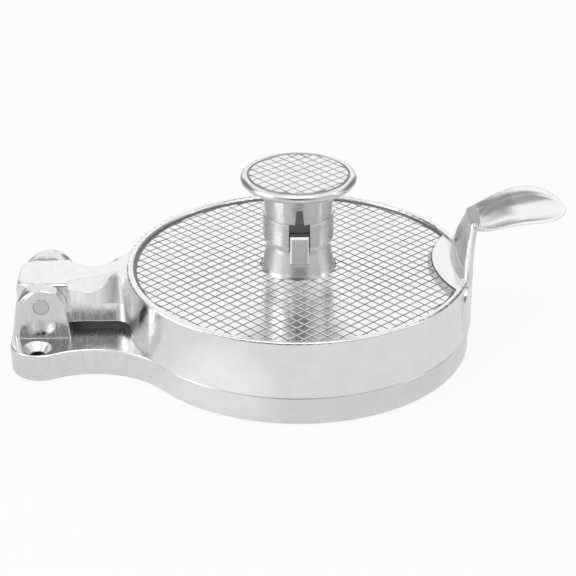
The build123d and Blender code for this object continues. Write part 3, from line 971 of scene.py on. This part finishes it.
@dataclass
class Plunger:
    """Knob, index ring, stem, press plate and its screw, which move together."""

    body: str = "plunger"
    knurl: Knurl = field(default_factory=lambda: Knurl(
        "knob_knurl", floor_z=67.37, top_z=67.70, pitch=3.74, turn_deg=39.5, offset=(1.0, 2.2),
        edges=[RoundEdge(0.0, 0.0, radius=18.1, inside=True)], reach=30.0,
        groove_half=0.34, round_over=0.16, seed=11,
    ))
    turned: MetalFinish = MetalFinish(
        "turned_knob", colour=(0.88, 0.88, 0.885), dull_colour=(0.78, 0.78, 0.785),
        rough_low=0.12, rough_high=0.26, blotch_scale=190.0,
        wave_height=0.012,
        painted_shade_patches=(
            # Shank: painted shade, and rougher
            PaintedShadePatch((0.0, 0.0, 57.0), (14.5, 14.5, 6.5), softness=2.5, painted_grey=0.76, rough=0.30, drum=True),
            # Groove round the knurl: painted shade
            PaintedShadePatch((0.0, 0.0, 67.3), (18.8, 18.8, 0.3), softness=0.1, painted_grey=0.42, rough=0.45, drum=True),
            # Sight notch: painted shade inside it
            PaintedShadePatch((0.0, -11.3, 55.5), (1.95, 0.55, 3.4), softness=0.15, painted_grey=0.22),
        ),
    )
    diamonds: MetalFinish = MetalFinish(
        "worn_diamonds", colour=(0.92, 0.92, 0.925), dull_colour=(0.86, 0.86, 0.865),
        rough_low=0.16, rough_high=0.26, wave_height=0.006,
        edge_round=0.10 * MM,
        # Grooves: painted shade between the diamonds
        painted_shade_patches=(PaintedShadePatch((0.0, 0.0, 67.42), (20.0, 20.0, 0.18), softness=0.14, painted_grey=0.36, rough=0.45),),
    )
    ring: MetalFinish = MetalFinish(
        "turned_ring", colour=(0.82, 0.82, 0.825), dull_colour=(0.71, 0.71, 0.715),
        rough_low=0.22, rough_high=0.34, blotch_scale=140.0,
        wave_height=0.012,
        # Slot behind the key: painted shade inside it
        painted_shade_patches=(PaintedShadePatch((0.0, -9.1, 47.0), (3.9, 0.5, 5.7), softness=0.15, painted_grey=0.22),),
    )
    steel: MetalFinish = MetalFinish(
        "turned_stem", colour=(0.62, 0.62, 0.63), dull_colour=(0.54, 0.54, 0.55),
        rough_low=0.22, rough_high=0.32, edge_round=0.2 * MM,
    )
    plate: MetalFinish = MetalFinish(
        "satin_plate", colour=(0.84, 0.84, 0.845), dull_colour=(0.75, 0.75, 0.755),
        rough_low=0.24, rough_high=0.36,
    )

    def dress(self, nodes: dict[str, bpy.types.Object], effects: EffectLibrary) -> list[str]:
        """Build the knob's knurl and give every plunger piece its finish.

        Args:
            nodes: CAD nodes by name.
            effects: The shared shader groups.

        Returns:
            Names of the pieces that were built or dressed.
        """
        steel = self.steel.build(effects)
        paint(nodes["knob"], self.turned.build(effects))
        paint(nodes["index_ring"], self.ring.build(effects))
        paint(nodes["press_plate"], self.plate.build(effects))
        paint(nodes["plunger_stem"], steel)
        paint(nodes["plate_screw"], steel)
        knurl = self.knurl.build()
        paint(knurl, self.diamonds.build(effects))
        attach(knurl, self.body)
        return ["knob", "index_ring", "press_plate", "plunger_stem", "plate_screw", knurl.name]


@dataclass(frozen=True)
class Softbox:
    """A soft lamp that points at the press, with its power in watts."""

    name: str
    place: Place
    size: Point
    power: float

    def build(self) -> None:
        """Add the lamp."""
        data = bpy.data.lights.new(self.name, "AREA")
        data.shape = "RECTANGLE"
        data.size, data.size_y = self.size
        data.energy = self.power
        lamp = bpy.data.objects.new(self.name, data)
        lamp.location = self.place
        lamp.rotation_euler = (-Vector(self.place)).to_track_quat("-Z", "Y").to_euler()
        bpy.context.scene.collection.objects.link(lamp)


@dataclass(frozen=True)
class SidePanel:
    """A panel at one side of the surround.

    Each pair gives where the panel starts and ends its fade, across X and up Z, on a sphere of radius 1.
    """

    across: Point
    top: Point
    level: float


@dataclass
class Studio:
    """Pale floor, surround, soft lamps and the camera.

    Levels are brightness, and pairs of edges are the start and the end of a fade. The surround's edges lie on
    a sphere of radius 1, and the floor's are in metres.
    """

    floor_half: float = 3.0
    floor_white: Colour = (0.86, 0.86, 0.86)
    floor_rough: float = 0.8
    # How much of what the camera and the metal see of the floor is its own level and not light on it
    floor_lift: float = 0.90
    # The floor as the metal sees it, as a painted glow: all round, darker far behind, and a painted pool of
    # light by the near left wall
    floor_reflected: float = 0.76
    floor_far: float = 0.40
    floor_far_edges: Point = (0.15, 0.30)
    pool_place: Place = (-0.05, -0.07, 0.0)
    pool_edges: Point = (0.015, 0.05)
    pool_level: float = 0.94
    # From the horizon behind the press, over the top, to the horizon at the camera: share of the way, level
    over_the_top: tuple[Point, ...] = (
        (0.0, 0.80), (0.04, 1.0), (0.27, 1.0), (0.31, 0.40), (0.40, 0.36), (0.44, 0.95),
        (0.68, 1.0), (0.74, 0.42), (0.90, 0.38), (1.0, 0.55),
    )
    panels: tuple[SidePanel, ...] = (
        SidePanel(across=(0.45, 0.65), top=(0.55, 0.72), level=0.60),
        SidePanel(across=(-0.45, -0.65), top=(0.55, 0.72), level=0.60),
        SidePanel(across=(-0.72, -0.80), top=(0.49, 0.53), level=1.0),
    )
    # Bright fields high up on both sides
    high_across: Point = (0.26, 0.42)
    high_up: Point = (0.53, 0.60)
    high_level: float = 0.95
    # Dark fields low down behind, on both sides
    corner_across: Point = (0.40, 0.58)
    corner_back: Point = (0.05, 0.25)
    corner_top: Point = (0.49, 0.53)
    corner_level: float = 0.24
    # Dark field round the camera, by the cosine of the angle from it
    camera_cone: Point = (0.935, 0.975)
    camera_level: float = 0.16
    lamps: tuple[Softbox, ...] = (
        Softbox("front_softbox", place=(0.0, -0.45, 0.85), size=(0.6, 0.35), power=1.1),
        Softbox("left_softbox", place=(-0.9, -0.3, 0.48), size=(0.5, 0.5), power=1.2),
        Softbox("right_strip", place=(0.9, -0.16, 0.46), size=(0.08, 0.6), power=0.3),
    )
    camera_place: Place = (-0.020835, -0.573914, 0.312382)
    camera_tilt_deg: float = 63.11
    camera_turn_deg: float = -1.7
    lens: float = 107.73
    sensor: float = 36.0

    def build(self) -> None:
        """Make the floor, the surround, the lamps and the camera."""
        self._floor()
        self._surround()
        for lamp in self.lamps:
            lamp.build()
        self._camera()

    def _floor(self) -> None:
        """Make the pale floor, which keeps a faint shadow."""
        half = self.floor_half
        mesh = bmesh.new()
        mesh.faces.new([mesh.verts.new((x * half, y * half, 0.0)) for x, y in SQUARE])
        floor = add_object("floor", mesh)
        material = bpy.data.materials.new("pale_floor")
        material.use_nodes = True
        tree = Tree(material.node_tree)
        shader = material.node_tree.nodes["Principled BSDF"]
        shader.inputs["Base Color"].default_value = (*self.floor_white, 1.0)
        shader.inputs["Roughness"].default_value = self.floor_rough
        rays = tree.add("LightPath").outputs
        glow = tree.add("Emission")
        level = tree.maths("MAXIMUM", self._floor_reflection(tree), rays["Is Camera Ray"])
        tree.link(level, glow.inputs["Strength"])
        seen = tree.maths("MAXIMUM", rays["Is Camera Ray"], rays["Is Glossy Ray"])
        seen = tree.maths("MAXIMUM", seen, rays["Is Transmission Ray"])
        mix = tree.add("MixShader")
        tree.link(tree.times(seen, self.floor_lift), mix.inputs["Fac"])
        tree.link(shader.outputs[0], mix.inputs[1])
        tree.link(glow.outputs[0], mix.inputs[2])
        tree.link(mix.outputs[0], material.node_tree.nodes["Material Output"].inputs["Surface"])
        floor.data.materials.append(material)

    def _floor_reflection(self, tree: Tree) -> Socket:
        """Level of the floor's painted glow in reflections: a painted pool of light by the near left wall,
        darkest far behind.

        Args:
            tree: Tree of the floor's material.

        Returns:
            The level's socket.
        """
        place = tree.add("TexCoord").outputs["Object"]
        away = tree.vector("DISTANCE", place, self.pool_place)
        level = tree.spread(away, *self.pool_edges, self.pool_level, self.floor_reflected)
        behind = tree.spread(tree.axes(place)["Y"], *self.floor_far_edges)
        return tree.mix(behind, level, self.floor_far)

    def _surround(self) -> None:
        """Make the surround, which the camera sees as white and the metal sees as bright and grey fields."""
        world = bpy.data.worlds.new("studio")
        world.use_nodes = True
        bpy.context.scene.world = world
        tree = Tree(world.node_tree)
        way = tree.add("TexCoord").outputs["Generated"]
        axes = tree.axes(way)
        angle = tree.maths("ARCTAN2", axes["Z"], axes["Y"])
        shade = tree.ramp(tree.maths("DIVIDE", angle, math.pi), self.over_the_top)
        for panel in self.panels:
            below = tree.spread(axes["Z"], *panel.top, 1.0, 0.0)
            shade = tree.mix(tree.times(tree.spread(axes["X"], *panel.across), below), shade, panel.level)
        sideways = tree.maths("ABSOLUTE", axes["X"])
        high = tree.times(tree.spread(sideways, *self.high_across), tree.spread(axes["Z"], *self.high_up))
        shade = tree.mix(high, shade, self.high_level)
        corner = tree.times(tree.spread(sideways, *self.corner_across),
                            tree.spread(axes["Y"], *self.corner_back))
        corner = tree.times(corner, tree.spread(axes["Z"], *self.corner_top, 1.0, 0.0))
        shade = tree.mix(corner, shade, self.corner_level)
        facing = tree.vector("DOT_PRODUCT", way, Vector(self.camera_place).normalized())
        shade = tree.mix(tree.spread(facing, *self.camera_cone), shade, self.camera_level)
        seen = tree.add("LightPath").outputs["Is Camera Ray"]
        background = world.node_tree.nodes["Background"]
        background.inputs["Color"].default_value = (1.0, 1.0, 1.0, 1.0)
        tree.link(tree.mix(seen, shade, 1.0), background.inputs["Strength"])

    def _camera(self) -> None:
        """Put the camera at the photograph's viewpoint."""
        data = bpy.data.cameras.new("camera")
        data.lens = self.lens
        data.sensor_width = self.sensor
        camera = bpy.data.objects.new("camera", data)
        camera.location = self.camera_place
        camera.rotation_euler = (math.radians(self.camera_tilt_deg), 0.0, math.radians(self.camera_turn_deg))
        bpy.context.scene.collection.objects.link(camera)
        bpy.context.scene.camera = camera


def paint(piece: bpy.types.Object, material: bpy.types.Material) -> None:
    """Put one material in every slot of a piece.

    Args:
        piece: The object to paint.
        material: Its finish.
    """
    if not piece.material_slots:
        piece.data.materials.append(material)
    for place in piece.material_slots:
        place.material = material


def main() -> None:
    """Load the frame, dress every sub-assembly, and set up the studio."""
    logging.basicConfig(level=logging.INFO, format="%(name)s: %(message)s")
    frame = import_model()
    effects = EffectLibrary()
    for assembly in (Base(), Lid(), Plunger()):
        for name in assembly.dress(frame["nodes"], effects):
            LOG.info("%s rides on %s", name, assembly.body)
    Studio().build()
    bpy.context.scene.view_settings.view_transform = "Standard"


if __name__ == "__main__":
    main()
